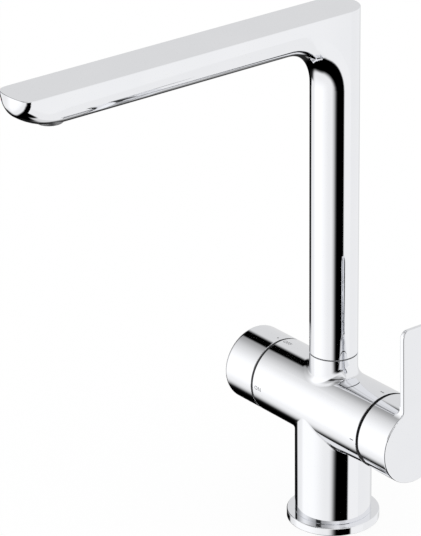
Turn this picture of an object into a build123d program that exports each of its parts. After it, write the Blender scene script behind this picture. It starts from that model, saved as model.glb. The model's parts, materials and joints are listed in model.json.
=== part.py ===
from build123d import *
import os
from math import atan2, degrees, radians, sin, sqrt, tan

os.makedirs("parts", exist_ok=True)

# A kitchen mixer tap with a swivelling high spout, a mixing lever on the right and a
# dishwasher shut-off knob on the left. Millimetres. +Z is up, the spout points to -Y and
# the lever end is at +X. The origin is the centre of the base where it meets the worktop.

# Outer sizes
pipe_diameter = 28.0
barrel_diameter = 45.2
column_inset = 0.3
barrel_height = 72.8
barrel_right_end = 46.2
barrel_left_end = -46.4
boss_top = 105.2
spout_top = 314.2
spout_reach = 217.6
arm_height = 20.75
bend_inner_radius = 24.0
base_diameter = 54.0
base_height = 5.0

# Blends and edges
column_blend = 3.5
boss_blend = 6.0
base_edge = 0.6
tip_arc_radius = 45.0
tip_side_radius = 5.0
tip_rise_length = 30.1
tip_rise_radius = 46.0
tip_rise_angle = 56.0
tip_edge = 7.0
arm_edge = 0.4
knob_edge = 2.4
lever_edge = 0.8
plate_back_edge = 0.9
rim_edge = 0.3

# Clearances
running = 0.05
threaded = 0.02
free_gap = 0.3

# Foot of the body, fixing stud and hose ports
foot_radius = 19.5
recess_radius = 17.0
recess_height = 20.0
foot_lift = 0.5
port_pitch = 10.5
port_radius = 4.5
port_depth = 11.0
duct_radius = 4.0
cross_duct_radius = 3.5
stud_radius = 4.0
stud_offset = 12.5
stud_engagement = 14.0
stud_past_nut = 10.0
stud_chamfer = 0.8
worktop_thickness = 38.0
clamp_radius = 25.0
clamp_slot_half = 17.0
clamp_slot_back = 6.0
gasket_thickness = 3.0
clamp_plate_thickness = 3.0
stud_hole_clearance = 0.4
fixing_nut_width = 13.0
fixing_nut_height = 18.0
seal_inner_radius = 21.0
seal_width = 4.0
seal_height = 2.0

# Spout bearing
nipple_radius = 10.95
nipple_bore = 7.0
nipple_thread_radius = 9.0
nipple_thread_depth = 12.0
nipple_height = 32.0
nipple_chamfer = 0.8
slide_ring_height = 0.8
slide_ring_inset = 0.7
ring_groove_depth = 1.6
ring_groove_height = 2.2
lower_ring_height = 7.0
upper_ring_height = 21.0
ring_squeeze = 0.03
stop_groove_height = 13.0
stop_groove_depth = 1.6
stop_screw_radius = 2.5
swivel_half_angle = 60.0
stop_play_angle = 1.0
mixed_bore = 6.5
mixed_floor_rise = 4.7

# Spout waterway and aerator
spout_wall = 3.0
outlet_inset = 25.3
outlet_land_radius = 9.2
outlet_land = 295.0
aerator_radius = 7.6
aerator_bore = 6.4
aerator_height = 9.0
aerator_drop = 0.5
aerator_seal_height = 1.5
aerator_insert_height = 6.0
aerator_lip = 1.2
aerator_chamfer = 0.4
seal_rim = 1.0
stream_hole_radius = 0.6
stream_ring_pitch = 1.6
stream_ring_count = 3
inner_ring_holes = 5

# Mixing cartridge, along +X inside the barrel
chamber_radius = 17.6
chamber_floor = 16.0
cartridge_radius = 17.5
cartridge_base_height = 3.5
water_hole_radius = 3.0
inlet_side = 6.5
inlet_drop = 4.3
outlet_rise = 8.0
seal_wall = 1.4
seal_depth = 1.2
slot_depth = 1.6
half_mixing_turn = 45.0
fixed_disc_radius = 14.0
disc_thickness = 3.5
moving_disc_thickness = 4.5
moving_disc_radius = 10.0
recess_depth = 0.8
recess_half_width = 6.0
recess_below = 7.0
recess_above = 4.6
housing_wall = 1.5
housing_end = 41.0
housing_lid = 2.2
neck_radius = 11.0
neck_end = 49.6
pivot_distance = 40.0
pivot_pin_radius = 1.5
pivot_pin_half = 9.0
stem_half = 4.0
stem_end = 60.0
stem_tip_radius = 2.6
stem_arm = 12.25
stem_neck_radius = 2.0
disc_play = 0.4
disc_pocket_depth = 2.6
tilt_limit = 20.0
retaining_nut_end = 45.6
nut_slot_width = 3.0
nut_slot_depth = 2.0
limit_ring_radius = 14.0
limit_ring_start = 46.5
limit_ring_length = 2.6

# Lever
lever_gap = 2.0
lever_face = 71.0
lever_pocket_radius = 16.4
lever_pocket_end = 55.0
relief_start = 3.0
plate_thickness = 3.2
plate_top = 72.4
plate_half_top = 9.7
plate_half_root = 8.9
plate_root_rise = 0.16
plate_corner = 4.6
plate_neck_blend = 5.0
plate_back_blend = 3.0
grub_radius = 2.5
grub_length = 6.0
grub_distance = 58.0
plug_radius = 3.2
plug_length = 3.0
plug_inset = 0.3
grub_socket_width = 2.5
grub_socket_depth = 2.5
socket_clearance = 0.08

# Shut-off knob and ceramic headwork, along -X inside the barrel
knob_gap = 1.5
knob_end = -72.8
knob_pocket_radius = 18.8
knob_pocket_end = -57.0
knob_grub_distance = -63.0
counterbore_radius = 14.4
counterbore_floor = -40.0
headwork_radius = 10.4
outlet_chamber_radius = 12.5
outlet_chamber_start = -33.0
outlet_chamber_end = -25.0
seat_face = -20.0
seat_pocket_radius = 7.0
seat_pocket_end = -16.0
headwork_hex_width = 24.0
headwork_hex_end = -45.4
headwork_neck_radius = 6.5
headwork_neck_end = -50.0
headwork_cavity_radius = 8.6
headwork_cavity_end = -36.0
lip_seal_height = 2.2
lip_seal_inner = 7.2
shut_disc_radius = 8.3
shut_disc_thickness = 2.8
spindle_radius = 4.0
spindle_end = -67.0
spindle_flange_length = 3.5
spindle_key_half = 6.0
spindle_key_width = 2.4
spindle_key_depth = 1.0
circlip_radius = 6.0
circlip_thickness = 0.8
circlip_groove = 0.6
circlip_gap_half = 2.0
circlip_place = -50.3
spindle_seal_place = -42.0
disc_rim = 1.6
disc_web = 1.2
window_half = 4.0

# Cold supply to the shut-off and the way to its outlet port
supply_radius = 3.0
supply_side = -3.8
supply_drop = -0.8
machine_duct_drop = 15.3

# Sizes that follow from those above
pipe_radius = pipe_diameter / 2
barrel_radius = barrel_diameter / 2
column_radius = barrel_radius - column_inset
neck_centre_reach = barrel_radius + plate_neck_blend
neck_centre_side = plate_half_root + plate_neck_blend
plate_root = sqrt(neck_centre_reach**2 - neck_centre_side**2) + plate_root_rise
base_radius = base_diameter / 2
spout_bottom = boss_top + slide_ring_height + running
riser_bore = pipe_radius - spout_wall
arm_axis = spout_top - arm_height + pipe_radius
channel_radius = arm_height / 2 - spout_wall
channel_axis = spout_top - arm_height / 2
lever_back = barrel_right_end + lever_gap
knob_back = barrel_left_end - knob_gap
bend_turn = bend_inner_radius + pipe_radius
bend_height = arm_axis - bend_turn
aerator_bottom = outlet_land - aerator_drop
fixed_disc_start = chamber_floor + cartridge_base_height
moving_disc_start = fixed_disc_start + disc_thickness + running
rotor_start = moving_disc_start + moving_disc_thickness + free_gap
lid_start = housing_end - housing_lid
housing_bore = cartridge_radius - housing_wall
shut_fixed_start = seat_face - lip_seal_height
shut_moving_start = shut_fixed_start - shut_disc_thickness - running
spindle_start = shut_moving_start - shut_disc_thickness
clamp_top = -worktop_thickness
plate_bottom = clamp_top - gasket_thickness - clamp_plate_thickness
stud_end = plate_bottom - fixing_nut_height - stud_past_nut
tip_start = spout_reach - tip_rise_length
outlet_distance = spout_reach - outlet_inset
mixed_bore_floor = barrel_height + mixed_floor_rise
machine_duct_height = barrel_height - machine_duct_drop


def upright(radius, bottom, top, x=0.0, y=0.0):
    """A round bar parallel to Z."""
    return Pos(x, y, (bottom + top) / 2) * Cylinder(radius, top - bottom)


def lying(radius, start, end, y=0.0, rise=0.0):
    """A round bar parallel to X, placed from the barrel's axis."""
    bar = Rot(0, 90, 0) * Cylinder(radius, abs(end - start))
    return Pos((start + end) / 2, y, barrel_height + rise) * bar


def block(x_range, y_range, z_range):
    """A box between two corners, with z measured from the barrel's axis."""
    sizes = [r[1] - r[0] for r in (x_range, y_range, z_range)]
    middles = [(r[0] + r[1]) / 2 for r in (x_range, y_range, z_range)]
    return Pos(middles[0], middles[1], barrel_height + middles[2]) * Box(*sizes)


def hexagon_bar(width, length):
    """A hexagonal bar along Z from the origin up, width across its flats."""
    return extrude(RegularPolygon(width / 2, 6, major_radius=False), length)


def turned(shape, angle):
    """The shape turned about the barrel's axis."""
    return Pos(0, 0, barrel_height) * Rot(angle, 0, 0) * Pos(0, 0, -barrel_height) * shape


def mixed_ports(radius, start, end):
    """The two inlets and the outlet of the cartridge, as three bars parallel to X."""
    front = lying(radius, start, end, -inlet_side, -inlet_drop)
    back = lying(radius, start, end, inlet_side, -inlet_drop)
    return front + back + lying(radius, start, end, 0, outlet_rise)


def save(shape, node):
    """Write one named piece."""
    export_step(shape, f"parts/{node}.step")


def body_shell():
    """The outside of the brass casting: column, barrel and spout boss, blended together."""
    column = upright(column_radius, base_height, barrel_height)
    column = chamfer(column.edges().filter_by(GeomType.CIRCLE).sort_by(Axis.Z)[0], rim_edge)
    barrel = lying(barrel_radius, barrel_left_end, barrel_right_end)
    shell = column + fillet(barrel.edges().filter_by(GeomType.CIRCLE), rim_edge)
    shell = fillet([e for e in shell.edges() if is_column_crease(e)], column_blend)
    shell = shell + upright(pipe_radius, barrel_height, boss_top)
    return fillet([e for e in shell.edges() if is_boss_crease(e)], boss_blend)


def is_column_crease(edge):
    """Is this edge where the column runs into the barrel?"""
    box = edge.bounding_box()
    between = barrel_left_end + 1 < box.min.X and box.max.X < barrel_right_end - 1
    return between and box.min.Z > base_height + 1 and box.max.Z < barrel_height


def is_boss_crease(edge):
    """Is this edge where the boss stands on the barrel?"""
    box = edge.bounding_box()
    return box.min.Z > barrel_height + barrel_radius / 2 and box.max.Z < boss_top - 1


def body_casting():
    """The brass body with its foot, two chambers and the waterways between them."""
    casting = body_shell() + upright(foot_radius, foot_lift, base_height)
    casting -= upright(recess_radius, 0, recess_height)
    casting -= hose_ports() + stud_hole()
    casting -= cartridge_side() + shut_off_side()
    casting -= upright(nipple_thread_radius + threaded, boss_top - nipple_thread_depth, boss_top + 1)
    casting -= upright(mixed_bore, mixed_bore_floor, boss_top)
    return casting


def hose_ports():
    """Threaded ports for the hot, cold and dishwasher hoses, each at the mouth of its duct."""
    mouth = recess_height - 1
    end = recess_height + port_depth
    hot = upright(port_radius, mouth, end, port_pitch, 0)
    cold = upright(port_radius, mouth, end, 0, -port_pitch)
    machine = upright(port_radius, mouth, end, -port_pitch, 0)
    return hot + cold + machine


def stud_hole():
    """The blind threaded hole that takes the fixing stud."""
    top = recess_height + stud_engagement
    return upright(stud_radius + threaded, recess_height - 1, top, 0, stud_offset)


def cartridge_side():
    """The cartridge's chamber, the ducts that feed it and the duct that leaves it."""
    inlet_height = barrel_height - inlet_drop
    cut = lying(chamber_radius, chamber_floor, barrel_right_end + 1)
    cut += upright(duct_radius, recess_height, inlet_height, port_pitch, 0)
    cut += upright(duct_radius, recess_height, inlet_height, 0, -port_pitch)
    cut += lying(cross_duct_radius, 0, chamber_floor + 1, -inlet_side, -inlet_drop)
    cut += lying(cross_duct_radius, port_pitch, chamber_floor + 1, inlet_side, -inlet_drop)
    side = Pos(port_pitch, inlet_side / 2, inlet_height)
    turn = side * Rot(90, 0, 0) * Cylinder(cross_duct_radius, inlet_side)
    return cut + turn + lying(cross_duct_radius, 0, chamber_floor + 1, 0, outlet_rise)


def shut_off_side():
    """The headwork's chamber, its cold supply and the way out to the dishwasher port."""
    cut = lying(counterbore_radius, barrel_left_end - 1, counterbore_floor)
    cut += lying(headwork_radius + threaded, counterbore_floor - 1, seat_face)
    cut += lying(outlet_chamber_radius, outlet_chamber_start, outlet_chamber_end)
    cut += lying(seat_pocket_radius, seat_face - 1, seat_pocket_end)
    cut += lying(supply_radius, seat_pocket_end - 1, 0, supply_side, supply_drop)
    cut += upright(duct_radius, recess_height, machine_duct_height, -port_pitch, 0)
    low = machine_duct_height - barrel_height
    middle = (outlet_chamber_start + outlet_chamber_end) / 2
    cut += lying(cross_duct_radius, middle, -port_pitch, 0, low)
    top = barrel_height - outlet_chamber_radius + 1
    return cut + upright(cross_duct_radius, machine_duct_height, top, middle, 0)


def base_ring():
    """The flange under the column, with a groove underneath for its seal."""
    ring = upright(base_radius, 0, base_height)
    ring = fillet(ring.edges().filter_by(GeomType.CIRCLE), base_edge)
    ring -= upright(foot_radius + threaded, -1, base_height + 1)
    return ring - seal_band(threaded)


def seal_band(play):
    """The square seal under the base, or with play its groove."""
    outer = upright(seal_inner_radius + seal_width + play, 0, seal_height)
    return outer - upright(seal_inner_radius - play, 0, seal_height)


def fixing_stud():
    top = recess_height + stud_engagement
    rod = upright(stud_radius, stud_end, top, 0, stud_offset)
    return chamfer(rod.edges().filter_by(GeomType.CIRCLE), stud_chamfer)


def horseshoe(bottom, thickness):
    """A round plate with a slot that lets the hoses through, and a hole for the stud."""
    plate = upright(clamp_radius, bottom, bottom + thickness)
    slot_length = clamp_radius + clamp_slot_back
    middle = clamp_slot_back - slot_length / 2
    plate -= Pos(0, middle, bottom + thickness / 2) * Box(2 * clamp_slot_half, slot_length, thickness)
    hole = stud_radius + stud_hole_clearance
    return plate - upright(hole, bottom, bottom + thickness, 0, stud_offset)


def fixing_nut():
    bottom = plate_bottom - fixing_nut_height
    nut = Pos(0, stud_offset, bottom) * hexagon_bar(fixing_nut_width, fixing_nut_height)
    return nut - upright(stud_radius + threaded, bottom, plate_bottom, 0, stud_offset)


def spout_nipple():
    """The turned spigot that the spout swivels on, with two seal grooves and a stop groove."""
    top = boss_top + nipple_height
    nipple = upright(nipple_radius, boss_top, top)
    nipple = chamfer(nipple.faces().sort_by(Axis.Z)[-1].edges(), nipple_chamfer)
    nipple += upright(nipple_thread_radius, boss_top - nipple_thread_depth, boss_top)
    nipple -= upright(mixed_bore, boss_top - nipple_thread_depth, top)
    for height in (lower_ring_height, upper_ring_height):
        nipple -= groove_band(height, nipple_radius + 1)
    return nipple - stop_groove()


def groove_band(height, outer):
    """A band round the nipple, from the bottom of its groove out to a radius."""
    bottom = boss_top + height
    band = upright(outer, bottom, bottom + ring_groove_height)
    return band - upright(nipple_radius - ring_groove_depth, bottom, bottom + ring_groove_height)


def stop_groove():
    """The part-circle groove whose ends stop the spout."""
    floor = nipple_radius - stop_groove_depth
    half_height = stop_screw_radius + free_gap
    side_angle = degrees(stop_screw_radius / floor)
    sweep = 2 * (swivel_half_angle + side_angle + stop_play_angle)
    middle_height = boss_top + stop_groove_height
    section = Plane.XZ * Pos(floor + 1, middle_height) * Rectangle(2, 2 * half_height)
    return Rot(0, 0, 90 - sweep / 2) * revolve(section, Axis.Z, sweep)


def spout_seals():
    """Two rubber rings between the nipple and the spout."""
    heights = (lower_ring_height, upper_ring_height)
    return Compound([groove_band(height, riser_bore - ring_squeeze) for height in heights])


def slide_ring():
    outer = upright(pipe_radius - slide_ring_inset, boss_top, boss_top + slide_ring_height)
    return outer - upright(nipple_radius + threaded, boss_top, boss_top + slide_ring_height)


def stop_screw():
    """The grub screw in the back of the riser, with its tip in the nipple's stop groove."""
    start = nipple_radius - stop_groove_depth + free_gap
    return stop_bar(stop_screw_radius, start, pipe_radius - free_gap)


def stop_bar(radius, start, end):
    """A bar along +Y at the height of the stop groove."""
    bar = Rot(90, 0, 0) * Cylinder(radius, end - start)
    return Pos(0, (start + end) / 2, boss_top + stop_groove_height) * bar


def spout():
    """Riser and arm in one piece: a round pipe, then flat on top and half round underneath."""
    outside = upright(pipe_radius, spout_bottom, bend_height) + spout_bend() + spout_arm()
    outside = fillet(outside.faces().sort_by(Axis.Z)[-1].edges(), arm_edge)
    outside -= upright(outlet_land_radius, arm_axis - pipe_radius, outlet_land, 0, -outlet_distance)
    socket_top = aerator_bottom + aerator_height + aerator_seal_height
    inside = upright(riser_bore, spout_bottom - 1, channel_axis)
    inside += upright(aerator_radius + threaded, aerator_bottom - aerator_height, socket_top, 0, -outlet_distance)
    inside += upright(aerator_bore, socket_top - 1, arm_axis, 0, -outlet_distance)
    channel = Rot(90, 0, 0) * Cylinder(channel_radius, outlet_distance)
    inside += Pos(0, -outlet_distance / 2, channel_axis) * channel
    inside += stop_bar(stop_screw_radius + threaded, riser_bore - 2, pipe_radius + 1)
    return (outside - inside).fix()


def spout_bend():
    """The inner bend, turned about its centre, and the flat-topped corner outside it."""
    span = spout_top - bend_height
    section = Circle(pipe_radius) + Pos(0, span / 2) * Rectangle(pipe_diameter, span)
    centre = Axis((0, -bend_turn, bend_height), (1, 0, 0))
    turned = revolve(Plane.XY.offset(bend_height) * section, centre, 90)
    plan = Circle(pipe_radius) + Pos(0, -bend_turn / 2) * Rectangle(pipe_diameter, bend_turn)
    return turned & extrude(Plane.XY.offset(bend_height) * plan, span)


def arm_section(upper):
    """The arm's section, looking along it, with its flat top this far above the axis."""
    lower = Circle(pipe_radius) & Pos(0, -pipe_radius / 2) * Rectangle(pipe_diameter, pipe_radius)
    return lower + Pos(0, upper / 2) * Rectangle(pipe_diameter, upper)


def spout_arm():
    """The arm: straight, then rising from underneath to an arched end with rounded edges."""
    start = Plane((0, -bend_turn, arm_axis), x_dir=(1, 0, 0), z_dir=(0, -1, 0))
    bar = extrude(start * arm_section(spout_top - arm_axis), tip_start - bend_turn)
    rise_centre = Axis((0, -tip_start, arm_axis - pipe_radius + tip_rise_radius), (-1, 0, 0))
    rise_plane = Plane((0, -tip_start, arm_axis), x_dir=(1, 0, 0), z_dir=(0, -1, 0))
    bar += revolve(rise_plane * arm_section(arm_height), rise_centre, tip_rise_angle)
    bar &= tip_plan()
    return fillet([e for e in bar.edges() if is_tip_edge(e)], tip_edge)


def is_tip_edge(edge):
    """Is this edge where the rising underside meets the arched end?"""
    box = edge.bounding_box()
    return box.max.Y < tip_side_radius + 1 - spout_reach and box.min.Z < spout_top - 1 and box.size.X > 0.5


def tip_plan():
    """The arm seen from above, as an upright block: an arched end with rounded corners."""
    sag = tip_arc_radius - (tip_arc_radius**2 - pipe_radius**2) ** 0.5
    corner_y = sag - spout_reach
    end = ThreePointArc((-pipe_radius, corner_y), (0, -spout_reach), (pipe_radius, corner_y))
    sides = Polyline((pipe_radius, corner_y), (pipe_radius, 0), (-pipe_radius, 0), (-pipe_radius, corner_y))
    outline = make_face([*end.edges(), *sides.edges()])
    outline = fillet(outline.vertices().sort_by(Axis.Y)[:2], tip_side_radius)
    return extrude(Plane.XY.offset(bend_height) * outline, spout_top - bend_height)


def aerator_housing():
    """The threaded sleeve in the tip, with a lip that carries the insert."""
    top = aerator_bottom + aerator_height
    sleeve = upright(aerator_radius, aerator_bottom, top, 0, -outlet_distance)
    sleeve = chamfer(sleeve.faces().sort_by(Axis.Z)[0].edges(), aerator_chamfer)
    lip_top = top - aerator_insert_height
    sleeve -= upright(aerator_bore, lip_top, top, 0, -outlet_distance)
    return sleeve - upright(aerator_bore - aerator_lip, aerator_bottom - 1, lip_top, 0, -outlet_distance)


def aerator_insert():
    """The plastic insert that breaks the stream up through rings of small holes."""
    top = aerator_bottom + aerator_height
    insert = upright(aerator_bore - threaded, top - aerator_insert_height, top, 0, -outlet_distance)
    middle = Pos(0, -outlet_distance, top - aerator_insert_height / 2)
    for ring in range(1, stream_ring_count + 1):
        for place in PolarLocations(ring * stream_ring_pitch, ring * inner_ring_holes):
            insert -= middle * place * Cylinder(stream_hole_radius, aerator_insert_height)
    return insert


def aerator_seal():
    bottom = aerator_bottom + aerator_height
    seal = upright(aerator_radius, bottom, bottom + aerator_seal_height, 0, -outlet_distance)
    return seal - upright(aerator_bore - seal_rim, bottom, bottom + aerator_seal_height, 0, -outlet_distance)


def cartridge_base():
    """The bottom of the cartridge: a sealed hole for each duct, and slots on to the discs."""
    base = lying(cartridge_radius, chamber_floor, fixed_disc_start)
    base -= mixed_ports(water_hole_radius, chamber_floor, fixed_disc_start)
    for y, z in ((inlet_side, -inlet_drop), (-inlet_side, -inlet_drop), (0, outlet_rise)):
        base -= curved_slot(y, z)
    return base - mixed_ports(water_hole_radius + seal_wall, chamber_floor, chamber_floor + seal_depth)


def curved_slot(y, z):
    """The slot from one hole of the base round to the matching hole of the fixed disc."""
    floor = Plane((fixed_disc_start - slot_depth, 0, barrel_height), x_dir=(0, 1, 0), z_dir=(1, 0, 0))
    arc = CenterArc((0, 0), (y**2 + z**2) ** 0.5, degrees(atan2(z, y)), half_mixing_turn)
    return extrude(floor * SlotArc(arc, 2 * water_hole_radius), slot_depth)


def cartridge_seals():
    end = chamber_floor + seal_depth
    rings = mixed_ports(water_hole_radius + seal_wall - threaded, chamber_floor, end)
    return rings - mixed_ports(water_hole_radius, chamber_floor, end)


def fixed_disc():
    """The ceramic disc that stays still, its holes turned to the middle of the lever's range."""
    end = fixed_disc_start + disc_thickness
    holes = turned(mixed_ports(water_hole_radius, fixed_disc_start, end), half_mixing_turn)
    return lying(fixed_disc_radius, fixed_disc_start, end) - holes


def moving_disc():
    """The ceramic disc that the lever slides and turns, with a pocket for the stem's tip."""
    end = moving_disc_start + moving_disc_thickness
    disc = lying(moving_disc_radius, moving_disc_start, end)
    pocket = stem_tip_radius + disc_play
    return disc - lying(pocket, end - disc_pocket_depth, end) - water_recess()


def water_recess():
    """The hollow in the moving disc's face that joins the water holes."""
    x_range = (moving_disc_start, moving_disc_start + recess_depth)
    return block(x_range, (-recess_half_width, recess_half_width), (-recess_below, recess_above))


def cartridge_housing():
    """The plastic shell of the cartridge: a tube with a lid round the rotor's neck."""
    shell = lying(cartridge_radius, fixed_disc_start, housing_end)
    shell -= lying(housing_bore, fixed_disc_start, lid_start)
    return shell - lying(neck_radius + running, lid_start, housing_end)


def cartridge_nut():
    """The threaded ring that holds the cartridge in, with slots for its key."""
    nut = lying(chamber_radius - threaded, housing_end, retaining_nut_end)
    nut -= lying(limit_ring_radius, housing_end, retaining_nut_end)
    slot_z = (-nut_slot_width / 2, nut_slot_width / 2)
    slot_x = (retaining_nut_end - nut_slot_depth, retaining_nut_end)
    for turn in (0, 90):
        nut -= turned(block(slot_x, (-chamber_radius, chamber_radius), slot_z), turn)
    return nut


def cartridge_rotor():
    """The plastic carrier that turns with the lever and lets the stem tilt in its slot."""
    rotor = lying(housing_bore - free_gap, rotor_start, lid_start - free_gap)
    rotor += lying(neck_radius, lid_start - free_gap, neck_end)
    return rotor - stem_slot() - pin_bar(pivot_pin_radius + threaded, pivot_pin_half)


def stem_slot():
    """The space that the stem sweeps as it tilts about its pin, with play on every side."""
    half = stem_half + free_gap
    inner = pivot_distance - rotor_start + 1
    outer = neck_end - pivot_distance + 1
    inner_swing = inner * sin(radians(tilt_limit)) + half
    outer_swing = outer * sin(radians(tilt_limit)) + half
    slot = block((pivot_distance - inner, pivot_distance), (-half, half), (-half, inner_swing))
    return slot + block((pivot_distance, pivot_distance + outer), (-half, half), (-outer_swing, half))


def pin_bar(radius, half_length):
    """A bar along Y through the lever's pivot."""
    return Pos(pivot_distance, 0, barrel_height) * Rot(90, 0, 0) * Cylinder(radius, 2 * half_length)


def limit_ring():
    """The plastic ring on the rotor's neck that limits how far it turns."""
    end = limit_ring_start + limit_ring_length
    ring = lying(limit_ring_radius - free_gap, limit_ring_start, end)
    return ring - lying(neck_radius + threaded, limit_ring_start, end)


def lever_stem():
    """The steel stem: square shank, a hole for the pivot pin and a round tip in the disc."""
    tip = pivot_distance - stem_arm
    shank = block((tip + stem_tip_radius, stem_end), (-stem_half, stem_half), (-stem_half, stem_half))
    shank += lying(stem_neck_radius, tip, tip + stem_tip_radius)
    shank += Pos(tip, 0, barrel_height) * Sphere(stem_tip_radius)
    return shank - pin_bar(pivot_pin_radius + running, stem_half + 1)


def lever():
    """The hub and its flat upright plate in one casting."""
    hub = lying(barrel_radius, lever_back, lever_face)
    hub = fillet(hub.edges().filter_by(GeomType.CIRCLE).sort_by(Axis.X)[0], rim_edge)
    hub += lever_plate()
    hub = fillet(hub.faces().sort_by(Axis.X)[-1].edges(), lever_edge)
    hub -= lying(lever_pocket_radius, lever_back, lever_pocket_end)
    hub -= tilt_relief()
    half = stem_half + socket_clearance
    hub -= block((lever_pocket_end - 1, stem_end), (-half, half), (-half, half))
    hub -= grub_bore(grub_distance, stem_half)
    return hub


def back_blend(face):
    """The concave blend between the back of the plate and the round hub."""
    corner_x = lever_face - plate_thickness - plate_back_blend
    corner_z = barrel_height + barrel_radius + plate_back_blend
    place = Pos(corner_x + plate_back_blend / 2, corner_z - plate_back_blend / 2)
    square = place * Rectangle(plate_back_blend, plate_back_blend)
    section = Plane.XZ * (square - Pos(corner_x, corner_z) * Circle(plate_back_blend))
    ring = revolve(section, Axis((0, 0, barrel_height), (1, 0, 0)))
    return ring & extrude(face, -plate_back_blend)


def lever_plate():
    """The plate on the hub's face: a stem that widens upwards, blended into the round face."""
    stem = Polygon(
        (-plate_half_root, 0),
        (plate_half_root, 0),
        (plate_half_root, plate_root),
        (plate_half_top, plate_top),
        (-plate_half_top, plate_top),
        (-plate_half_root, plate_root),
        align=None,
    )
    face = Circle(barrel_radius) + stem
    necks = [v for v in face.vertices() if barrel_radius / 2 < v.Y < plate_root - 1]
    face = fillet(necks, plate_neck_blend)
    face = fillet(face.vertices().sort_by(Axis.Y)[-2:], plate_corner)
    side = Plane((lever_face - plate_thickness, 0, barrel_height), x_dir=(0, 1, 0), z_dir=(1, 0, 0))
    return rounded_behind(extrude(side * face, plate_thickness)) + back_blend(side * face)


def rounded_behind(plate):
    """The plate with its back edges rounded from just above its blend upwards."""
    start = barrel_radius + plate_back_blend + rim_edge
    above = block((lever_back, lever_face + 1), (-barrel_radius, barrel_radius), (start, plate_top + 1))
    upper = plate & above
    rims = upper.faces().sort_by(Axis.X)[0].edges().sort_by(Axis.Z)[1:]
    return fillet(rims, plate_back_edge) + (plate - above)


def tilt_relief():
    """The wedge off the hub's lower back edge that lets the lever tilt clear of the body."""
    depth = barrel_radius - relief_start + 1
    rise = depth * tan(radians(tilt_limit))
    corner = (lever_back, barrel_height - relief_start)
    wedge = Polygon(
        corner,
        (lever_back - 1, corner[1]),
        (lever_back - 1, corner[1] - depth),
        (lever_back + rise, corner[1] - depth),
        align=None,
    )
    return extrude(Plane.XZ * wedge, barrel_radius + 1, both=True)


def grub_bore(distance, start):
    """The hole for a grub screw and its plug, from the inner part out through the underside."""
    side = Pos(distance, 0, barrel_height)
    length = barrel_radius - start + 1
    thread = side * Pos(0, 0, -start - length / 2) * Cylinder(grub_radius + threaded, length)
    seat = side * Pos(0, 0, -barrel_radius) * Cylinder(plug_radius + threaded, 2 * plug_length)
    return thread + seat


def grub_screw(distance, start):
    """A grub screw with a hexagon socket, its point against the inner part."""
    outer_end = barrel_height - start - grub_length
    screw = upright(grub_radius, outer_end, outer_end + grub_length, distance)
    return screw - Pos(distance, 0, outer_end) * hexagon_bar(grub_socket_width, grub_socket_depth)


def screw_plug(distance):
    """The small cap over a grub screw, cut to the round of the barrel."""
    plug = Pos(distance, 0, barrel_height - barrel_radius) * Cylinder(plug_radius, 2 * plug_length)
    return plug & lying(barrel_radius - plug_inset, distance - plug_length * 2, distance + plug_length * 2)


def headwork_body():
    """The brass shell of the shut-off: hexagon, threaded barrel, neck and side windows."""
    hexagon = Rot(0, -90, 0) * hexagon_bar(headwork_hex_width, counterbore_floor - headwork_hex_end)
    body = Pos(counterbore_floor, 0, barrel_height) * hexagon
    body += lying(headwork_radius, counterbore_floor, shut_fixed_start)
    body += lying(headwork_neck_radius, headwork_hex_end, headwork_neck_end)
    body -= lying(headwork_cavity_radius, shut_fixed_start, headwork_cavity_end)
    body -= lying(spindle_radius + running, headwork_cavity_end, headwork_neck_end)
    window = (outlet_chamber_start + 1, outlet_chamber_end - 1)
    body -= block(window, (-headwork_radius, headwork_radius), (-window_half, window_half))
    return body


def headwork_lip_seal():
    ring = lying(headwork_radius - threaded, shut_fixed_start, seat_face)
    return ring - lying(lip_seal_inner, shut_fixed_start, seat_face)


def headwork_fixed_disc():
    start = shut_fixed_start - shut_disc_thickness
    disc = lying(shut_disc_radius, start, shut_fixed_start)
    return disc - disc_openings(start, shut_fixed_start, 1)


def disc_openings(start, end, side):
    """The two opposed quarter openings of a shut-off disc, inside its rim."""
    return lying(shut_disc_radius - disc_rim, start, end) & opposed_quarters(start, end, side)


def opposed_quarters(start, end, side):
    """Two quarters either side of the axis, on one diagonal or with side -1 on the other."""
    reach = shut_disc_radius + 1
    spans = [sorted((side * disc_web, side * reach)), sorted((-side * disc_web, -side * reach))]
    upper = block((start, end), spans[0], (disc_web, reach))
    return upper + block((start, end), spans[1], (-reach, -disc_web))


def headwork_moving_disc():
    """The ceramic disc that turns with the knob; its openings are shut in the OFF position."""
    disc = lying(shut_disc_radius, spindle_start, shut_moving_start)
    return disc - disc_openings(spindle_start, shut_moving_start, -1) - spindle_key(threaded)


def spindle_key(play):
    """The bar on the spindle's face that turns the disc, or with play its slot."""
    half = spindle_key_half + play
    width = spindle_key_width / 2 + play
    bar = block((spindle_start, spindle_start + spindle_key_depth + play), (-half, half), (-width, width))
    return turned(bar, 45)


def headwork_spindle():
    """The shaft that the knob turns, with a flange and key for the ceramic disc."""
    flange_end = spindle_start - spindle_flange_length
    shaft = lying(shut_disc_radius, flange_end, spindle_start)
    shaft -= opposed_quarters(flange_end, spindle_start, -1)
    shaft += lying(spindle_radius, spindle_end, flange_end)
    shaft += spindle_key(0)
    for place in (spindle_seal_place, circlip_place):
        shaft -= collar(place, circlip_thickness, spindle_radius + 1, spindle_radius - circlip_groove)
    return shaft


def collar(place, length, outer, inner):
    """A band round the spindle."""
    return lying(outer, place - length, place) - lying(inner, place - length, place)


def spindle_circlip():
    ring = collar(circlip_place, circlip_thickness, circlip_radius, spindle_radius - circlip_groove)
    x_range = (circlip_place - circlip_thickness, circlip_place)
    gap = block(x_range, (-circlip_gap_half, circlip_gap_half), (0, circlip_radius + 1))
    return ring - gap


def spindle_seal():
    inner = spindle_radius - circlip_groove
    return collar(spindle_seal_place, circlip_thickness, spindle_radius + running / 2, inner)


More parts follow.
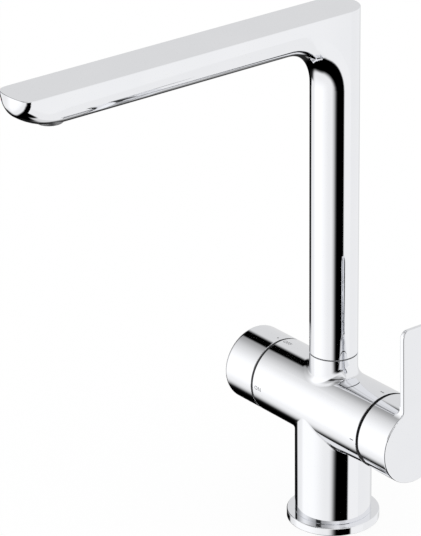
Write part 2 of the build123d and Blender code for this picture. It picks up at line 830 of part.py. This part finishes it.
def shut_off_knob():
    """The round knob, closed at its outer end."""
    knob = lying(barrel_radius, knob_end, knob_back)
    knob = fillet(knob.edges().filter_by(GeomType.CIRCLE).sort_by(Axis.X)[-1], rim_edge)
    knob = fillet(knob.edges().filter_by(GeomType.CIRCLE).sort_by(Axis.X)[0], knob_edge)
    knob -= lying(knob_pocket_radius, knob_pocket_end, knob_back)
    knob -= lying(spindle_radius + threaded, spindle_end, knob_pocket_end + 1)
    return knob - grub_bore(knob_grub_distance, spindle_radius)


def main():
    """Build and write every piece."""
    save(body_casting(), "body_casting")
    save(base_ring(), "base_ring")
    save(seal_band(0), "base_seal")
    save(fixing_stud(), "fixing_stud")
    save(horseshoe(clamp_top - gasket_thickness, gasket_thickness), "clamp_gasket")
    save(horseshoe(plate_bottom, clamp_plate_thickness), "clamp_plate")
    save(fixing_nut(), "fixing_nut")
    save(spout_nipple(), "spout_nipple")
    save(spout_seals(), "spout_seals")
    save(slide_ring(), "slide_ring")
    save(spout(), "spout")
    save(stop_screw(), "spout_stop_screw")
    save(aerator_housing(), "aerator_housing")
    save(aerator_insert(), "aerator_insert")
    save(aerator_seal(), "aerator_seal")
    save(cartridge_base(), "cartridge_base")
    save(cartridge_seals(), "cartridge_seals")
    save(fixed_disc(), "cartridge_fixed_disc")
    save(moving_disc(), "cartridge_moving_disc")
    save(cartridge_housing(), "cartridge_housing")
    save(cartridge_nut(), "cartridge_nut")
    save(cartridge_rotor(), "cartridge_rotor")
    save(pin_bar(pivot_pin_radius, pivot_pin_half), "pivot_pin")
    save(limit_ring(), "limit_ring")
    save(lever_stem(), "lever_stem")
    save(lever(), "lever")
    save(grub_screw(grub_distance, stem_half), "lever_screw")
    save(screw_plug(grub_distance), "lever_plug")
    save(headwork_body(), "headwork_body")
    save(headwork_lip_seal(), "headwork_lip_seal")
    save(headwork_fixed_disc(), "headwork_fixed_disc")
    save(headwork_moving_disc(), "headwork_moving_disc")
    save(headwork_spindle(), "headwork_spindle")
    save(spindle_seal(), "spindle_seal")
    save(spindle_circlip(), "spindle_circlip")
    save(shut_off_knob(), "shut_off_knob")
    save(grub_screw(knob_grub_distance, spindle_radius), "knob_screw")
    save(screw_plug(knob_grub_distance), "knob_plug")


main()
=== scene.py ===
import json
import math

import bmesh
import bpy
from mathutils import Matrix, Vector


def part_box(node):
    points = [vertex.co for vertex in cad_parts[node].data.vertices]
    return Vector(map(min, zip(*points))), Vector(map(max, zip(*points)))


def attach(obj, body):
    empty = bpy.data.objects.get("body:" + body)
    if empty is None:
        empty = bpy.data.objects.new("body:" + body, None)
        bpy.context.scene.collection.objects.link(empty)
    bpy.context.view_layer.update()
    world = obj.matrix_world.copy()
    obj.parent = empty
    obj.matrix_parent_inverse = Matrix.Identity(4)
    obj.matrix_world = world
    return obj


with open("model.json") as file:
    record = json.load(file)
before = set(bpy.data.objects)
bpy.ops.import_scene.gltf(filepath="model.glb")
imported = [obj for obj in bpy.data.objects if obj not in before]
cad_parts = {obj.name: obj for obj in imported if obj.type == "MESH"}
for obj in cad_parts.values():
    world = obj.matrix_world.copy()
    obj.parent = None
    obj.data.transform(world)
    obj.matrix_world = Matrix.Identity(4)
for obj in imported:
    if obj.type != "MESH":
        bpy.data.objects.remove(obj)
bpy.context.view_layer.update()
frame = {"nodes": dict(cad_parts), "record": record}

# A kitchen mixer tap in polished chrome. Metres, +Z up, the spout points to -Y, the lever is
# at +X and the shut-off knob at -X. The origin is the centre of the base on the worktop.

NODES = frame["nodes"]
MM = 0.001

# Sizes taken over from the CAD
BARREL_HEIGHT = 72.8 * MM
BARREL_RADIUS = 22.6 * MM

# Printed marks on the barrel and the knob
MARK_PROUD = 0.02 * MM
MARK_SUNK = 0.05 * MM
LETTER_HEIGHT = 2.45 * MM
OFF_START = -44.9 * MM
ON_START = -44.4 * MM
CAPITAL_SHARE = 0.69  # a capital's height as a share of the type size
LETTER_SPACING = 1.12
DOT_RADIUS = 0.55 * MM
DOT_SEGMENTS = 24
DOT_PLACE = -50.5 * MM
DASH_START = 41.3 * MM
DASH_LENGTH = 2.9 * MM
DASH_WIDTH = 0.6 * MM
MARK_LONGEST_EDGE = 1.2 * MM
TOP_TURN = 0.0
FRONT_TURN = 90.0

# Black washers in the gaps beside the barrel: painted shade, dark rings shaped as glide washers
# that stand in for the shadow in the gaps
LEVER_GAP_SHADE_THICKNESS = 0.12 * MM
KNOB_GAP_SHADE_THICKNESS = 1.1 * MM
GAP_SHADE_INSET = 0.15 * MM
GAP_SHADE_BORE = 18.0 * MM
GAP_SHADE_SEGMENTS = 96

# Thread of the fixing stud, with painted shade in its grooves and painted highlight on its crests
THREAD_PITCH = 1.25 * MM
THREAD_DEPTH = 0.35 * MM
WAVE_UNITS = 20.0  # the wave texture multiplies its scale by this
THREAD_ROUGHNESS = 0.34
THREAD_GROOVE_SHADE = (0.40, 0.41, 0.43)
THREAD_CREST_HIGHLIGHT = (0.66, 0.67, 0.69)

# Chrome: its tones, its roughness and the wipe marks that change it
CHROME_DARK = (0.855, 0.865, 0.89)
CHROME_LIGHT = (0.885, 0.89, 0.912)
LEAST_ROUGHNESS = 0.025
MOST_ROUGHNESS = 0.06
WIPE_SCALE = 45.0
WIPE_DETAIL = 5.0
WIPE_DISTORTION = 1.2
WIPE_RANGE = (0.35, 0.7)
CLOUDING_DETAIL = 1.0

# Machined metal: its turning lines and its changes of shade
LINE_SCALE = 700.0
LINE_DETAIL = 3.0
LINE_BUMP = 0.25
LINE_DEPTH = 0.02 * MM
SHADE_SCALE = 120.0
SHADE_DETAIL = 4.0

# Grain of rubber, plastic and ceramic
GRAIN_DETAIL = 4.0
GRAIN_BUMP = 0.3

# Viewing angle and framing of the photograph
VIEW_AZIMUTH = 52.26
VIEW_ELEVATION = 23.913
VIEW_ROLL = -0.679
CAMERA_PLACE = (1.35084, -1.13382, 0.93956)
SENSOR = 36.0
FOCAL_LENGTH = 229.17
NEAREST_SEEN = 0.1
FARTHEST_SEEN = 50.0

# Floor: half its side, the share of its own white that the camera sees, how far below the base
# it lies, and its roughness
FLOOR_HALF = 6.0
FLOOR_GLOW = 0.9
FLOOR_DROP = 0.05 * MM
FLOOR_ROUGHNESS = 0.9


def group_socket(group, name, kind, is_input):
    """Adds a named input or output to a node group."""
    side = "INPUT" if is_input else "OUTPUT"
    group.interface.new_socket(name=name, in_out=side, socket_type=kind)


def new_node(tree, kind, **settings):
    """A node with its settings, given by name."""
    node = tree.nodes.new(kind)
    for name, value in settings.items():
        setattr(node, name, value)
    return node


def handling_marks():
    """Faint wipe marks and clouding of a polished surface: a roughness and a tone."""
    group = bpy.data.node_groups.new("handling_marks", "ShaderNodeTree")
    group_socket(group, "Vector", "NodeSocketVector", True)
    group_socket(group, "Scale", "NodeSocketFloat", True)
    group_socket(group, "Least Roughness", "NodeSocketFloat", True)
    group_socket(group, "Most Roughness", "NodeSocketFloat", True)
    group_socket(group, "Roughness", "NodeSocketFloat", False)
    group_socket(group, "Tone", "NodeSocketFloat", False)
    given = new_node(group, "NodeGroupInput")
    result = new_node(group, "NodeGroupOutput")
    wipes = new_node(group, "ShaderNodeTexNoise")
    wipes.inputs["Detail"].default_value = WIPE_DETAIL
    wipes.inputs["Distortion"].default_value = WIPE_DISTORTION
    clouding = new_node(group, "ShaderNodeTexNoise")
    clouding.inputs["Detail"].default_value = CLOUDING_DETAIL
    spread = new_node(group, "ShaderNodeMapRange")
    link = group.links.new
    link(given.outputs["Vector"], wipes.inputs["Vector"])
    link(given.outputs["Scale"], wipes.inputs["Scale"])
    link(given.outputs["Vector"], clouding.inputs["Vector"])
    link(given.outputs["Scale"], clouding.inputs["Scale"])
    link(wipes.outputs["Fac"], spread.inputs["Value"])
    spread.inputs["From Min"].default_value = WIPE_RANGE[0]
    spread.inputs["From Max"].default_value = WIPE_RANGE[1]
    link(given.outputs["Least Roughness"], spread.inputs["To Min"])
    link(given.outputs["Most Roughness"], spread.inputs["To Max"])
    link(spread.outputs["Result"], result.inputs["Roughness"])
    link(clouding.outputs["Fac"], result.inputs["Tone"])
    return group


def machining():
    """Fine turning lines round an axis: a height and a shade."""
    group = bpy.data.node_groups.new("machining", "ShaderNodeTree")
    group_socket(group, "Vector", "NodeSocketVector", True)
    group_socket(group, "Scale", "NodeSocketFloat", True)
    group_socket(group, "Lines", "NodeSocketFloat", False)
    group_socket(group, "Shade", "NodeSocketFloat", False)
    given = new_node(group, "NodeGroupInput")
    result = new_node(group, "NodeGroupOutput")
    lines = new_node(group, "ShaderNodeTexNoise")
    lines.inputs["Detail"].default_value = LINE_DETAIL
    clouds = new_node(group, "ShaderNodeTexNoise")
    clouds.inputs["Scale"].default_value = SHADE_SCALE
    clouds.inputs["Detail"].default_value = SHADE_DETAIL
    link = group.links.new
    link(given.outputs["Vector"], lines.inputs["Vector"])
    link(given.outputs["Scale"], lines.inputs["Scale"])
    link(given.outputs["Vector"], clouds.inputs["Vector"])
    link(lines.outputs["Fac"], result.inputs["Lines"])
    link(clouds.outputs["Fac"], result.inputs["Shade"])
    return group


HANDLING = handling_marks()
MACHINING = machining()


def start_material(name, metallic, roughness):
    """A material with its Principled BSDF and object coordinates."""
    material = bpy.data.materials.new(name)
    material.use_nodes = True
    tree = material.node_tree
    shader = tree.nodes["Principled BSDF"]
    shader.inputs["Metallic"].default_value = metallic
    shader.inputs["Roughness"].default_value = roughness
    coordinates = new_node(tree, "ShaderNodeTexCoord")
    return material, tree, shader, coordinates.outputs["Object"]


def bump_from(tree, shader, height, strength, distance):
    """Feeds a height through a Bump node to the shader's normal."""
    bump = new_node(tree, "ShaderNodeBump")
    bump.inputs["Strength"].default_value = strength
    bump.inputs["Distance"].default_value = distance
    tree.links.new(height, bump.inputs["Height"])
    tree.links.new(bump.outputs["Normal"], shader.inputs["Normal"])


def two_tones(tree, shader, fac, dark, light):
    """Base colour that wanders between two tones of one finish."""
    mix = new_node(tree, "ShaderNodeMix", data_type="RGBA")
    mix.inputs["A"].default_value = (*dark, 1.0)
    mix.inputs["B"].default_value = (*light, 1.0)
    tree.links.new(fac, mix.inputs["Factor"])
    tree.links.new(mix.outputs["Result"], shader.inputs["Base Color"])


def polished_chrome():
    """Mirror chrome: near white metal with wipe marks and the slightest clouding."""
    material, tree, shader, place = start_material("polished_chrome", 1.0, LEAST_ROUGHNESS)
    marks = new_node(tree, "ShaderNodeGroup", node_tree=HANDLING)
    tree.links.new(place, marks.inputs["Vector"])
    marks.inputs["Scale"].default_value = WIPE_SCALE
    marks.inputs["Least Roughness"].default_value = LEAST_ROUGHNESS
    marks.inputs["Most Roughness"].default_value = MOST_ROUGHNESS
    tree.links.new(marks.outputs["Roughness"], shader.inputs["Roughness"])
    two_tones(tree, shader, marks.outputs["Tone"], CHROME_DARK, CHROME_LIGHT)
    return material


def turned_metal(name, dark, light, roughness, finer):
    """Machined brass or steel with fine lines, finer along Z by the given factor."""
    material, tree, shader, place = start_material(name, 1.0, roughness)
    mapping = new_node(tree, "ShaderNodeMapping")
    mapping.inputs["Scale"].default_value = (1.0, 1.0, finer)
    tree.links.new(place, mapping.inputs["Vector"])
    lines = new_node(tree, "ShaderNodeGroup", node_tree=MACHINING)
    lines.inputs["Scale"].default_value = LINE_SCALE
    tree.links.new(mapping.outputs["Vector"], lines.inputs["Vector"])
    two_tones(tree, shader, lines.outputs["Shade"], dark, light)
    bump_from(tree, shader, lines.outputs["Lines"], LINE_BUMP, LINE_DEPTH)
    return material


def threaded_steel():
    """Steel with the grooves of a thread along Z, for the fixing stud, painted darker in the
    grooves as shade and lighter on the crests as highlight.
    """
    material, tree, shader, place = start_material("threaded_steel", 1.0, THREAD_ROUGHNESS)
    grooves = new_node(tree, "ShaderNodeTexWave", bands_direction="Z", wave_profile="TRI")
    grooves.inputs["Scale"].default_value = 2 * math.pi / (WAVE_UNITS * THREAD_PITCH)
    tree.links.new(place, grooves.inputs["Vector"])
    two_tones(tree, shader, grooves.outputs["Fac"], THREAD_GROOVE_SHADE, THREAD_CREST_HIGHLIGHT)
    bump_from(tree, shader, grooves.outputs["Fac"], 1.0, THREAD_DEPTH)
    return material


def moulded(name, dark, light, roughness, grain, grain_depth):
    """Rubber, plastic or ceramic with a fine grain, its depth in millimetres."""
    material, tree, shader, place = start_material(name, 0.0, roughness)
    grains = new_node(tree, "ShaderNodeTexNoise")
    grains.inputs["Scale"].default_value = grain
    grains.inputs["Detail"].default_value = GRAIN_DETAIL
    tree.links.new(place, grains.inputs["Vector"])
    two_tones(tree, shader, grains.outputs["Fac"], dark, light)
    bump_from(tree, shader, grains.outputs["Fac"], GRAIN_BUMP, grain_depth * MM)
    return material


CHROME = polished_chrome()
SATIN = turned_metal("satin_outlet", (0.20, 0.20, 0.205), (0.30, 0.30, 0.305), 0.42, 8.0)
BRASS = turned_metal("turned_brass", (0.62, 0.45, 0.18), (0.80, 0.62, 0.30), 0.28, 6.0)
STEEL = turned_metal("plain_steel", (0.50, 0.51, 0.53), (0.66, 0.67, 0.69), 0.32, 6.0)
THREADED_STEEL = threaded_steel()
RUBBER = moulded("black_rubber", (0.012, 0.012, 0.013), (0.03, 0.03, 0.032), 0.6, 2200.0, 0.03)
WHITE_PLASTIC = moulded("white_plastic", (0.78, 0.78, 0.76), (0.86, 0.86, 0.84), 0.38, 1500.0, 0.01)
GREY_PLASTIC = moulded("grey_plastic", (0.16, 0.165, 0.17), (0.21, 0.215, 0.22), 0.4, 1500.0, 0.01)
CERAMIC = moulded("lapped_ceramic", (0.86, 0.86, 0.84), (0.92, 0.92, 0.90), 0.12, 900.0, 0.003)
MARK_INK = moulded("etched_mark", (0.10, 0.10, 0.105), (0.14, 0.14, 0.145), 0.5, 3000.0, 0.005)

SLOT_MATERIALS = {
    "chrome": CHROME,
    "brass": BRASS,
    "steel": STEEL,
    "rubber": RUBBER,
    "white_plastic": WHITE_PLASTIC,
    "grey_plastic": GREY_PLASTIC,
    "ceramic": CERAMIC,
}

# Nodes with a finish of their own within their slot
OWN_MATERIALS = {
    "aerator_housing": SATIN,
    "fixing_stud": THREADED_STEEL,
}


def finish_cad_nodes():
    """Gives every CAD node the material of its slot in the record."""
    for part in frame["record"]["subparts"]:
        node = NODES[part["node"]]
        material = SLOT_MATERIALS[part["material_slot"]]
        if not node.data.materials:
            node.data.materials.append(material)
        material = OWN_MATERIALS.get(part["node"], material)
        for index in range(len(node.data.materials)):
            node.data.materials[index] = material


def place_mesh(name, mesh, material, body):
    """Links a finished mesh as a piece that rides on a body."""
    mesh.materials.clear()
    mesh.materials.append(material)
    piece = bpy.data.objects.new(name, mesh)
    bpy.context.scene.collection.objects.link(piece)
    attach(piece, body)


def finished_mesh(work, name):
    """The mesh of a finished bmesh, which is freed."""
    mesh = bpy.data.meshes.new(name)
    work.to_mesh(mesh)
    work.free()
    return mesh


def gap_shade_ring_mesh(name, start, thickness):
    """A flat ring about the barrel's axis, with its outer edge just inside the barrel's."""
    work = bmesh.new()
    for radius in (GAP_SHADE_BORE, BARREL_RADIUS - GAP_SHADE_INSET):
        bmesh.ops.create_circle(work, segments=GAP_SHADE_SEGMENTS, radius=radius)
    bmesh.ops.bridge_loops(work, edges=work.edges[:])
    face_ring = bmesh.ops.extrude_face_region(work, geom=work.faces[:])
    raised = [v for v in face_ring["geom"] if isinstance(v, bmesh.types.BMVert)]
    bmesh.ops.translate(work, verts=raised, vec=(0, 0, thickness))
    bmesh.ops.recalc_face_normals(work, faces=work.faces[:])
    sideways = Matrix.Rotation(math.pi / 2, 3, "Y")
    bmesh.ops.rotate(work, verts=work.verts[:], cent=(0, 0, 0), matrix=sideways)
    bmesh.ops.translate(work, verts=work.verts[:], vec=(start, 0, BARREL_HEIGHT))
    return finished_mesh(work, name)


def add_gap_shade_rings():
    """Black rings of painted shade in the gaps, shaped as glide washers: one on the barrel's right
    end, one on the back of the knob.
    """
    barrel_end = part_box("body_casting")[1][0]
    knob_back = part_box("shut_off_knob")[1][0]
    # Each ring is painted shade: black rubber where the gap beside the barrel falls into shadow.
    lever_gap_shade_ring = gap_shade_ring_mesh("lever_gap_shade_ring", barrel_end, LEVER_GAP_SHADE_THICKNESS)
    knob_gap_shade_ring = gap_shade_ring_mesh("knob_gap_shade_ring", knob_back, KNOB_GAP_SHADE_THICKNESS)
    place_mesh("lever_gap_shade_ring", lever_gap_shade_ring, RUBBER, "mixer_body")
    place_mesh("knob_gap_shade_ring", knob_gap_shade_ring, RUBBER, "knob_group")


def wrap_on_barrel(mesh, turn):
    """Lays a flat mark, drawn in X and Y on top of the barrel, on its round and turns it."""
    work = bmesh.new()
    work.from_mesh(mesh)
    bmesh.ops.triangulate(work, faces=work.faces[:])
    long_edges = [e for e in work.edges if e.calc_length() > MARK_LONGEST_EDGE]
    bmesh.ops.subdivide_edges(work, edges=long_edges, cuts=2)
    thick = bmesh.ops.extrude_face_region(work, geom=work.faces[:])
    raised = {v for v in thick["geom"] if isinstance(v, bmesh.types.BMVert)}
    for vert in work.verts:
        reach = MARK_PROUD if vert in raised else -MARK_SUNK
        angle = vert.co.y / BARREL_RADIUS
        radius = BARREL_RADIUS + reach
        vert.co = Vector((vert.co.x, radius * math.sin(angle), radius * math.cos(angle)))
    bmesh.ops.recalc_face_normals(work, faces=work.faces[:])
    turned = Matrix.Rotation(math.radians(turn), 3, "X")
    bmesh.ops.rotate(work, verts=work.verts[:], cent=(0, 0, 0), matrix=turned)
    bmesh.ops.translate(work, verts=work.verts[:], vec=(0, 0, BARREL_HEIGHT))
    work.to_mesh(mesh)
    work.free()
    return mesh


def word_mesh(word, start, height):
    """A short word as a flat mesh along +X, its letters' tops towards +Y, centred on Y."""
    curve = bpy.data.curves.new(word, "FONT")
    curve.body = word
    curve.size = height / CAPITAL_SHARE
    curve.space_character = LETTER_SPACING
    helper = bpy.data.objects.new(word, curve)
    bpy.context.scene.collection.objects.link(helper)
    bpy.context.view_layer.update()
    mesh = bpy.data.meshes.new_from_object(helper)
    bpy.data.objects.remove(helper)
    low_x = min(v.co.x for v in mesh.vertices)
    low_y = min(v.co.y for v in mesh.vertices)
    high_y = max(v.co.y for v in mesh.vertices)
    mesh.transform(Matrix.Translation((start - low_x, -(low_y + high_y) / 2, 0)))
    return mesh


def dash_mesh(name):
    """A short flat dash along X."""
    work = bmesh.new()
    bmesh.ops.create_grid(work, x_segments=4, y_segments=2, size=0.5)
    bmesh.ops.scale(work, verts=work.verts[:], vec=(DASH_LENGTH, DASH_WIDTH, 1))
    bmesh.ops.translate(work, verts=work.verts[:], vec=(DASH_START + DASH_LENGTH / 2, 0, 0))
    return finished_mesh(work, name)


def dot_mesh(name, place, radius):
    """A flat round dot on the X axis."""
    work = bmesh.new()
    bmesh.ops.create_circle(work, cap_ends=True, segments=DOT_SEGMENTS, radius=radius)
    bmesh.ops.translate(work, verts=work.verts[:], vec=(place, 0, 0))
    return finished_mesh(work, name)


def add_marks():
    """OFF on top, ON at the front, the knob's dot, and a dash at each end of the lever's turn."""
    marks = (
        ("mark_off", word_mesh("OFF", OFF_START, LETTER_HEIGHT), TOP_TURN, "mixer_body"),
        ("mark_on", word_mesh("ON", ON_START, LETTER_HEIGHT), FRONT_TURN, "mixer_body"),
        ("mark_lever_top", dash_mesh("mark_lever_top"), TOP_TURN, "mixer_body"),
        ("mark_lever_front", dash_mesh("mark_lever_front"), FRONT_TURN, "mixer_body"),
        ("mark_knob_dot", dot_mesh("mark_knob_dot", DOT_PLACE, DOT_RADIUS), TOP_TURN, "knob_group"),
    )
    for name, mesh, turn, body in marks:
        place_mesh(name, wrap_on_barrel(mesh, turn), MARK_INK, body)


HALF_CIRCLE = 180.0

# What the tap mirrors, tuned to the photograph from its own viewing angle
STUDIO_BASE = 0.77

# The cards and black flags of the studio round the tap, later ones in front of earlier ones:
# first and last azimuth, softness at each, lowest and highest elevation, softness there, and
# brightness. Degrees, with azimuths from +X towards +Y.
STUDIO_CARDS = (
    ("side_card", -2, 108, 8, 16, -100, 100, 10, 0.94),
    ("side_glow", 8, 40.2, 10, 1.6, -60, -10, 10, 0.985),
    ("front_card", -200, -20, 8, 8, -100, 100, 10, 0.95),
    ("front_glow", -146, -84, 16, 50, -34, 24, 32, 1.17),
    ("front_top_shade", -190, -40, 20, 20, 52, 70, 16, 0.25),
    ("front_gap_shade", -112, -48, 44, 52, 18, 100, 10, 0.42),
    ("front_gap_flag", -93, -76, 6, 6, 18, 100, 10, 0.03),
    ("right_flag", -41, 4, 30, 6, -48, 2, 24, 0.0),
    ("back_shade", 156, 203, 8, 44, -8, 100, 30, 0.36),
    ("back_flag_high", 159, 182, 7, 7, -8, 100, 30, 0.0),
    ("back_flag_low", 145, 186, 18, 10, -100, -8, 30, 0.0),
    ("back_flag_foot", 116, 200, 40, 22, -60, -30, 6, 0.02),
    ("floor_flag", -221, 8, 16, 10, -100, -62, 12, 0.0),
    ("nadir_flag", -180, 180, 0.1, 0.1, -100, -79, 4, 0.0),
)
# The dark table top under the front, with a straight slanting edge: its card, the normal of the
# plane through the tap and that edge, and the softness across it.
TABLE_CARD = ("table_top", -206, 3, 16, 8, -100, -18, 20, 0.0)
TABLE_EDGE = (0.4, 1.0, -0.57)
TABLE_SOFTNESS = 0.28


def studio_card_group():
    """The mask of one card in the studio round the tap, by the direction looked in."""
    group = bpy.data.node_groups.new("studio_card", "ShaderNodeTree")
    group_socket(group, "Azimuth", "NodeSocketFloat", True)
    group_socket(group, "Elevation", "NodeSocketFloat", True)
    for name in ("Centre", "Half Width", "Start Softness", "End Softness"):
        group_socket(group, name, "NodeSocketFloat", True)
    for name in ("Low", "High", "Edge Softness"):
        group_socket(group, name, "NodeSocketFloat", True)
    group_socket(group, "Mask", "NodeSocketFloat", False)
    given = new_node(group, "NodeGroupInput")
    result = new_node(group, "NodeGroupOutput")
    link = group.links.new

    def math_node(operation, first, second):
        """A Math node on two sockets, or on a socket and a number."""
        node = new_node(group, "ShaderNodeMath", operation=operation)
        for socket, value in zip(node.inputs, (first, second)):
            if isinstance(value, float):
                socket.default_value = value
            else:
                link(value, socket)
        return node.outputs[0]

    def edge(value, limit, softness, rising):
        """Rises from 0 to 1, or falls, across a soft edge at the limit."""
        half = math_node("MULTIPLY", softness, 0.5)
        ramp = new_node(group, "ShaderNodeMapRange", interpolation_type="SMOOTHSTEP")
        link(value, ramp.inputs["Value"])
        link(math_node("SUBTRACT", limit, half), ramp.inputs["From Min"])
        link(math_node("ADD", limit, half), ramp.inputs["From Max"])
        ramp.inputs["To Min"].default_value = 0.0 if rising else 1.0
        ramp.inputs["To Max"].default_value = 1.0 if rising else 0.0
        return ramp.outputs["Result"]

    away = math_node("SUBTRACT", given.outputs["Azimuth"], given.outputs["Centre"])
    wrapped = new_node(group, "ShaderNodeMath", operation="WRAP")
    link(away, wrapped.inputs[0])
    wrapped.inputs[1].default_value = HALF_CIRCLE
    wrapped.inputs[2].default_value = -HALF_CIRCLE
    last = given.outputs["Half Width"]
    first = math_node("MULTIPLY", last, -1.0)
    rise = given.outputs["Elevation"]
    softness = given.outputs["Edge Softness"]
    start = edge(wrapped.outputs[0], first, given.outputs["Start Softness"], True)
    end = edge(wrapped.outputs[0], last, given.outputs["End Softness"], False)
    low = edge(rise, given.outputs["Low"], softness, True)
    high = edge(rise, given.outputs["High"], softness, False)
    across = math_node("MULTIPLY", start, end)
    upright = math_node("MULTIPLY", low, high)
    link(math_node("MULTIPLY", across, upright), result.inputs["Mask"])
    return group


def cut_at_table_edge(tree, direction, mask):
    """A card's mask, kept only on the near side of the table's slanting edge."""
    across = new_node(tree, "ShaderNodeVectorMath", operation="DOT_PRODUCT")
    tree.links.new(direction, across.inputs[0])
    across.inputs[1].default_value = TABLE_EDGE
    ramp = new_node(tree, "ShaderNodeMapRange", interpolation_type="SMOOTHSTEP")
    tree.links.new(across.outputs["Value"], ramp.inputs["Value"])
    ramp.inputs["From Min"].default_value = -TABLE_SOFTNESS / 2
    ramp.inputs["From Max"].default_value = TABLE_SOFTNESS / 2
    kept = new_node(tree, "ShaderNodeMath", operation="MULTIPLY")
    tree.links.new(mask, kept.inputs[0])
    tree.links.new(ramp.outputs["Result"], kept.inputs[1])
    return kept.outputs[0]


def studio_world():
    """White to the camera and plain white light, with the studio's cards for reflections."""
    world = bpy.data.worlds.new("studio")
    bpy.context.scene.world = world
    world.use_nodes = True
    tree = world.node_tree
    tree.nodes.clear()
    link = tree.links.new
    coordinates = new_node(tree, "ShaderNodeTexCoord")
    parts = new_node(tree, "ShaderNodeSeparateXYZ")
    link(coordinates.outputs["Generated"], parts.inputs["Vector"])
    turn = new_node(tree, "ShaderNodeMath", operation="ARCTAN2")
    link(parts.outputs["Y"], turn.inputs[0])
    link(parts.outputs["X"], turn.inputs[1])
    azimuth = new_node(tree, "ShaderNodeMath", operation="DEGREES")
    link(turn.outputs[0], azimuth.inputs[0])
    rise = new_node(tree, "ShaderNodeMath", operation="ARCSINE")
    link(parts.outputs["Z"], rise.inputs[0])
    elevation = new_node(tree, "ShaderNodeMath", operation="DEGREES")
    link(rise.outputs[0], elevation.inputs[0])
    card_group = studio_card_group()
    level = None
    for name, first, last, start, end, low, high, soft, brightness in (*STUDIO_CARDS, TABLE_CARD):
        card = new_node(tree, "ShaderNodeGroup", node_tree=card_group, label=name)
        link(azimuth.outputs[0], card.inputs["Azimuth"])
        link(elevation.outputs[0], card.inputs["Elevation"])
        values = ((first + last) / 2, (last - first) / 2, start, end, low, high, soft)
        for socket, value in zip(list(card.inputs)[2:], values):
            socket.default_value = value
        mask = card.outputs["Mask"]
        if name == TABLE_CARD[0]:
            mask = cut_at_table_edge(tree, coordinates.outputs["Generated"], mask)
        mix = new_node(tree, "ShaderNodeMix", data_type="FLOAT")
        link(mask, mix.inputs["Factor"])
        if level is None:
            mix.inputs["A"].default_value = STUDIO_BASE
        else:
            link(level, mix.inputs["A"])
        mix.inputs["B"].default_value = brightness
        level = mix.outputs["Result"]
    rays = new_node(tree, "ShaderNodeLightPath")
    chosen = new_node(tree, "ShaderNodeMix", data_type="FLOAT")
    link(rays.outputs["Is Glossy Ray"], chosen.inputs["Factor"])
    chosen.inputs["A"].default_value = 1.0
    link(level, chosen.inputs["B"])
    light = new_node(tree, "ShaderNodeBackground")
    light.inputs["Color"].default_value = (1, 1, 1, 1)
    link(chosen.outputs["Result"], light.inputs["Strength"])
    output = new_node(tree, "ShaderNodeOutputWorld")
    link(light.outputs["Background"], output.inputs["Surface"])


def add_floor():
    """A plain white floor that the tap stands on."""
    work = bmesh.new()
    bmesh.ops.create_grid(work, x_segments=2, y_segments=2, size=FLOOR_HALF)
    bmesh.ops.translate(work, verts=work.verts[:], vec=(0, 0, -FLOOR_DROP))
    mesh = finished_mesh(work, "floor")
    material = bpy.data.materials.new("white_floor")
    material.use_nodes = True
    tree = material.node_tree
    shader = tree.nodes["Principled BSDF"]
    shader.inputs["Base Color"].default_value = (1, 1, 1, 1)
    shader.inputs["Roughness"].default_value = FLOOR_ROUGHNESS
    shader.inputs["Specular IOR Level"].default_value = 0.0
    white = new_node(tree, "ShaderNodeEmission")
    rays = new_node(tree, "ShaderNodeLightPath")
    share = new_node(tree, "ShaderNodeMath", operation="MULTIPLY")
    share.inputs[1].default_value = FLOOR_GLOW
    mix = new_node(tree, "ShaderNodeMixShader")
    tree.links.new(rays.outputs["Is Camera Ray"], share.inputs[0])
    tree.links.new(share.outputs[0], mix.inputs["Fac"])
    tree.links.new(shader.outputs["BSDF"], mix.inputs[1])
    tree.links.new(white.outputs["Emission"], mix.inputs[2])
    tree.links.new(mix.outputs["Shader"], tree.nodes["Material Output"].inputs["Surface"])
    mesh.materials.append(material)
    floor = bpy.data.objects.new("floor", mesh)
    bpy.context.scene.collection.objects.link(floor)
    floor.visible_glossy = False


def add_camera():
    """The camera at the photograph's viewing angle and framing."""
    azimuth = math.radians(VIEW_AZIMUTH)
    elevation = math.radians(VIEW_ELEVATION)
    turn = Matrix.Rotation(azimuth, 3, "Z") @ Matrix.Rotation(math.pi / 2 - elevation, 3, "X")
    turn = turn @ Matrix.Rotation(math.radians(VIEW_ROLL), 3, "Z")
    data = bpy.data.cameras.new("camera")
    data.sensor_width = SENSOR
    data.lens = FOCAL_LENGTH
    data.clip_start = NEAREST_SEEN
    data.clip_end = FARTHEST_SEEN
    camera = bpy.data.objects.new("camera", data)
    camera.matrix_world = Matrix.Translation(CAMERA_PLACE) @ turn.to_4x4()
    bpy.context.scene.collection.objects.link(camera)
    bpy.context.scene.camera = camera


add_camera()
studio_world()
add_floor()
finish_cad_nodes()
add_gap_shade_rings()
add_marks()
bpy.context.scene.view_settings.view_transform = "Standard"
